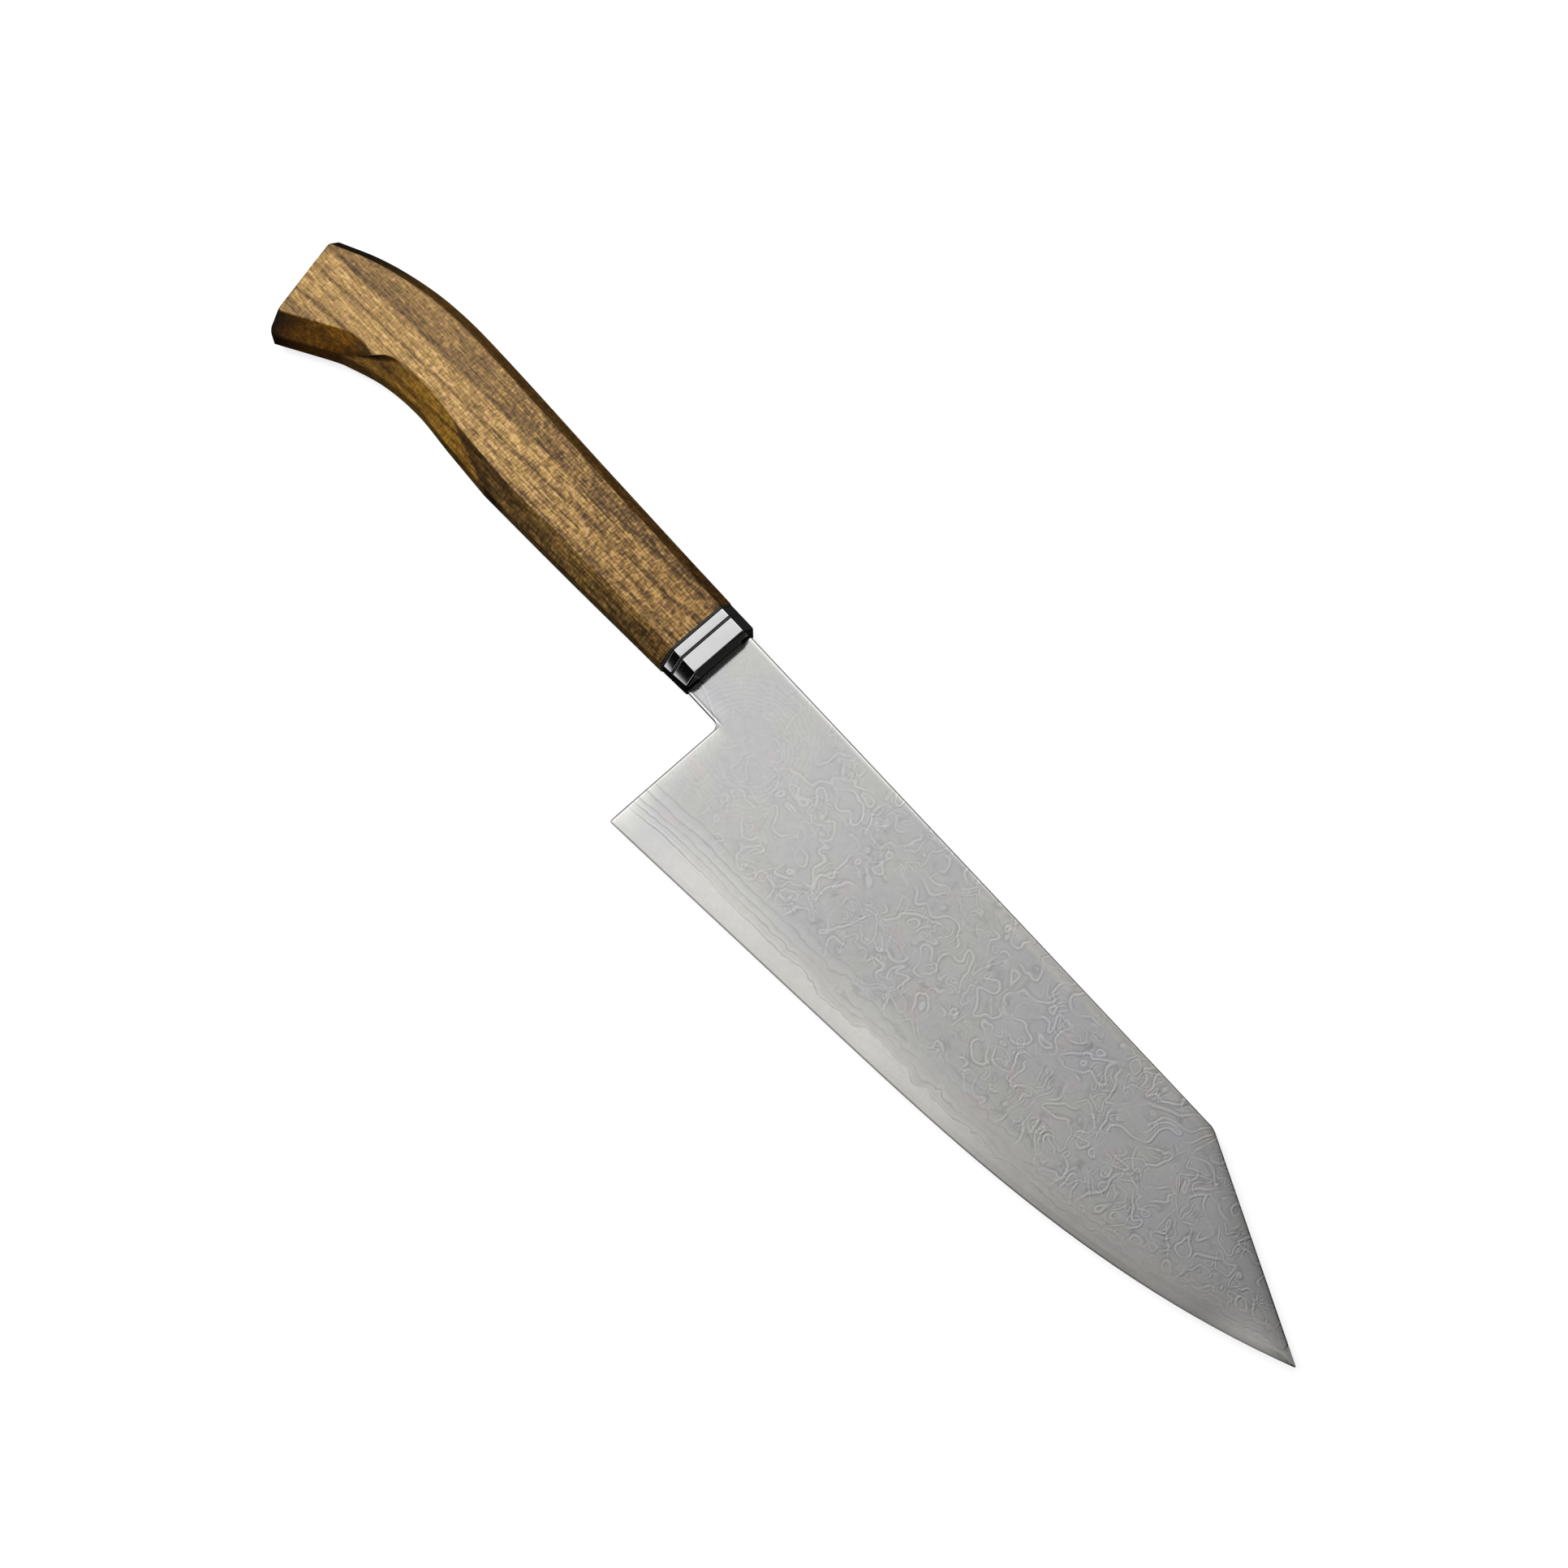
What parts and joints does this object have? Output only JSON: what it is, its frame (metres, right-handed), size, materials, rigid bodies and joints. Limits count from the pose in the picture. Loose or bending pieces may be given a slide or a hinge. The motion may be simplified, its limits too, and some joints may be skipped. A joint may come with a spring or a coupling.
{
  "type": "bunka kitchen knife",
  "caption": "Kitchen knife with a layered blade, straight spine, angled point and carved eight-sided wooden grip with a metal ferrule.",
  "frame": {"origin": "middle of the knife's bounding box in X and Y, on the surface that the knife's left side lies on", "axes": "+X to the blade's point, +Y to the spine, away from the cutting edge, +Z out of the blade's right side"},
  "size_m": [0.3152, 0.0514, 0.015],
  "materials": {
    "core_steel": "ground and polished to a plain satin band and bevel",
    "layered_steel": "etched layer pattern, satin",
    "ferrule_metal": "satin flats with polished bevels",
    "black_fibre": "matt",
    "oiled_wood": "oiled, open pores, carved facets",
    "cured_resin": "cast, hidden"
  },
  "bodies": {
    "root": {"blade_core": "core_steel", "cladding_right": "layered_steel", "cladding_left": "layered_steel", "front_ring": "ferrule_metal", "ring_spacer": "black_fibre", "rear_ring": "ferrule_metal", "wood_spacer": "black_fibre", "handle": "oiled_wood", "tang_resin": "cured_resin"}
  },
  "joints": []
}
